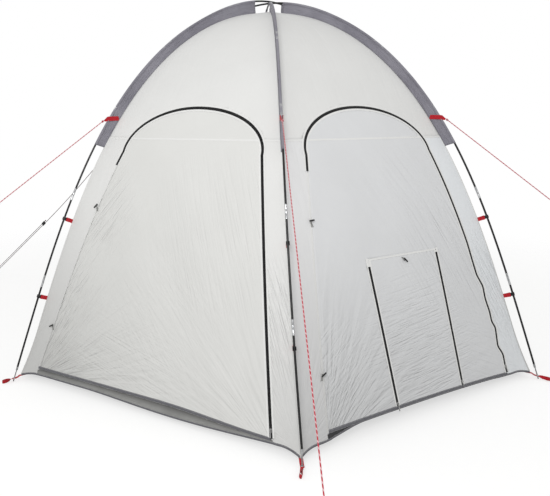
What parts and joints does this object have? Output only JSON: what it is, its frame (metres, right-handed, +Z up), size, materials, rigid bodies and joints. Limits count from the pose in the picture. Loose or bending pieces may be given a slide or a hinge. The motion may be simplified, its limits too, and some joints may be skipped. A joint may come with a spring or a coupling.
{
  "type": "pool enclosure tent",
  "caption": "Hexagonal dome tent on crossed jointed poles that covers a round garden pool, with arched zip doors, a small pass-through flap, pole sleeves, clips and guy ropes.",
  "frame": {"origin": "on the ground under the crown, where the poles cross", "axes": "+Z up; -Y runs to the front corner between the two doors, +X to the right of a person who faces that corner"},
  "size_m": [4.3342, 4.7091, 2.3328],
  "materials": {
    "canopy_cloth": "matt coated polyester, off-white",
    "door_cloth": "matt coated polyester, off-white",
    "sleeve_cloth": "matt woven polyester, grey",
    "zip_chain": "black moulded zip",
    "zip_slider": "bright die-cast metal",
    "pole_rod": "black glass-fibre rod with bright ferrules and tips",
    "clip_plastic": "black moulded plastic",
    "toggle_plastic": "dark moulded plastic",
    "foot_webbing": "red woven webbing",
    "guy_cord": "red and white braided cord"
  },
  "bodies": {
    "frame_and_canopy": {"back_clip_lower": "clip_plastic", "back_clip_upper": "clip_plastic", "back_foot_webbing": "foot_webbing", "back_left_wall": "canopy_cloth", "back_right_wall": "canopy_cloth", "back_sleeve": "sleeve_cloth", "front_clip_lower": "clip_plastic", "front_clip_upper": "clip_plastic", "front_foot_webbing": "foot_webbing", "front_guy_rope": "guy_cord", "front_left_door_zip": "zip_chain", "front_left_wall": "canopy_cloth", "front_right_door_zip": "zip_chain", "front_right_wall": "canopy_cloth", "front_sleeve": "sleeve_cloth", "left_back_clip_lower": "clip_plastic", "left_back_clip_upper": "clip_plastic", "left_back_foot_webbing": "foot_webbing", "left_back_guy_rope": "guy_cord", "left_back_sleeve": "sleeve_cloth", "left_front_clip_lower": "clip_plastic", "left_front_clip_upper": "clip_plastic", "left_front_foot_webbing": "foot_webbing", "left_front_guy_rope": "guy_cord", "left_front_sleeve": "sleeve_cloth", "left_wall": "canopy_cloth", "pole_front_to_back": "pole_rod", "pole_right_back_to_left_front": "pole_rod", "pole_right_front_to_left_back": "pole_rod", "right_back_clip_lower": "clip_plastic", "right_back_clip_upper": "clip_plastic", "right_back_foot_webbing": "foot_webbing", "right_back_sleeve": "sleeve_cloth", "right_front_clip_lower": "clip_plastic", "right_front_clip_upper": "clip_plastic", "right_front_foot_webbing": "foot_webbing", "right_front_guy_rope": "guy_cord", "right_front_sleeve": "sleeve_cloth", "right_wall": "canopy_cloth", "roof_canopy": "canopy_cloth"},
    "left_door": {"front_left_door": "door_cloth"},
    "right_door": {"front_right_door": "door_cloth", "flap_zip_left": "zip_chain", "flap_zip_right": "zip_chain"},
    "flap": {"pass_through_flap": "door_cloth"},
    "front_left_door_slider": {"front_left_door_slider": "zip_slider"},
    "front_left_door_puller": {"front_left_door_puller": "zip_slider"},
    "front_right_door_slider": {"front_right_door_slider": "zip_slider"},
    "front_right_door_puller": {"front_right_door_puller": "zip_slider"},
    "flap_left_slider": {"flap_left_slider": "zip_slider"},
    "flap_left_puller": {"flap_left_puller": "zip_slider"},
    "flap_right_slider": {"flap_right_slider": "zip_slider"},
    "flap_right_puller": {"flap_right_puller": "zip_slider"},
    "front_left_toggle_upper": {"front_left_toggle_upper": "toggle_plastic"},
    "front_left_toggle_lower": {"front_left_toggle_lower": "toggle_plastic"},
    "front_right_toggle_upper": {"front_right_toggle_upper": "toggle_plastic"},
    "front_right_toggle_lower": {"front_right_toggle_lower": "toggle_plastic"},
    "flap_toggle": {"flap_toggle": "toggle_plastic"},
    "guy_rope_runner": {"guy_rope_runner": "clip_plastic"}
  },
  "joints": [
    {"name": "left_door_swing", "type": "hinge", "parent": "frame_and_canopy", "child": "left_door", "pos_m": [-1.44287, -0.95113, 0.09815], "axis": [-0.3705, -0.1631, -0.9144], "range_deg": [0, 100]},
    {"name": "right_door_swing", "type": "hinge", "parent": "frame_and_canopy", "child": "right_door", "pos_m": [0.18688, -1.68711, 0.09735], "axis": [0.0447, -0.3766, -0.9253], "range_deg": [0, 85]},
    {"name": "flap_swing", "type": "hinge", "parent": "right_door", "child": "flap", "pos_m": [0.66824, -1.09599, 0.82318], "axis": [-0.866, -0.5, 0], "range_deg": [0, 120]},
    {"name": "front_left_door_zip_slide", "type": "slide", "parent": "frame_and_canopy", "child": "front_left_door_slider", "axis": [-0.0324, 0.3323, 0.9426], "range_m": [0, 0.4]},
    {"name": "front_left_door_puller_swing", "type": "hinge", "parent": "front_left_door_slider", "child": "front_left_door_puller", "pos_m": [-0.10486, -1.68878, 0.10633], "axis": [-0.8787, 0.4399, -0.1852], "range_deg": [-5, 150]},
    {"name": "front_right_door_zip_slide", "type": "slide", "parent": "frame_and_canopy", "child": "front_right_door_slider", "axis": [-0.2893, 0.1786, 0.9404], "range_m": [0, 0.4]},
    {"name": "front_right_door_puller_swing", "type": "hinge", "parent": "front_right_door_slider", "child": "front_right_door_puller", "pos_m": [1.37045, -0.97313, 0.10655], "axis": [-0.8304, -0.5355, -0.1538], "range_deg": [-5, 150]},
    {"name": "flap_left_zip_slide", "type": "slide", "parent": "right_door", "child": "flap_left_slider", "axis": [-0.1843, 0.259, 0.9481], "range_m": [0, 0.4]},
    {"name": "flap_left_puller_swing", "type": "hinge", "parent": "flap_left_slider", "child": "flap_left_puller", "pos_m": [0.58459, -1.43461, 0.10666], "axis": [-0.8611, -0.5076, -0.0287], "range_deg": [-5, 150]},
    {"name": "flap_right_zip_slide", "type": "slide", "parent": "right_door", "child": "flap_right_slider", "axis": [-0.1695, 0.2597, 0.9507], "range_m": [0, 0.4]},
    {"name": "flap_right_puller_swing", "type": "hinge", "parent": "flap_right_slider", "child": "flap_right_puller", "pos_m": [1.02732, -1.17462, 0.1066], "axis": [-0.8633, -0.5043, -0.0162], "range_deg": [-5, 150]},
    {"name": "front_left_toggle_upper_swivel", "type": "hinge", "parent": "frame_and_canopy", "child": "front_left_toggle_upper", "pos_m": [-1.06946, -0.76684, 1.05067], "axis": [-0.4641, -0.8039, 0.372], "range_deg": [-80, 80]},
    {"name": "front_left_toggle_lower_swivel", "type": "hinge", "parent": "frame_and_canopy", "child": "front_left_toggle_lower", "pos_m": [-1.34817, -0.88854, 0.34555], "axis": [-0.4762, -0.8249, 0.3046], "range_deg": [-80, 80]},
    {"name": "front_right_toggle_upper_swivel", "type": "hinge", "parent": "frame_and_canopy", "child": "front_right_toggle_upper", "pos_m": [0.11775, -1.30635, 1.05067], "axis": [0.4641, -0.8039, 0.372], "range_deg": [-80, 80]},
    {"name": "front_right_toggle_lower_swivel", "type": "hinge", "parent": "frame_and_canopy", "child": "front_right_toggle_lower", "pos_m": [0.15284, -1.58526, 0.34555], "axis": [0.4762, -0.8249, 0.3046], "range_deg": [-80, 80]},
    {"name": "flap_toggle_swivel", "type": "hinge", "parent": "flap", "child": "flap_toggle", "pos_m": [0.67292, -1.10327, 0.7946], "axis": [0.4712, -0.8161, 0.3346], "range_deg": [-80, 80]},
    {"name": "guy_rope_runner_slide", "type": "slide", "parent": "frame_and_canopy", "child": "guy_rope_runner", "axis": [-0.6888, 0.3977, -0.6061], "range_m": [0, 0.35]}
  ]
}
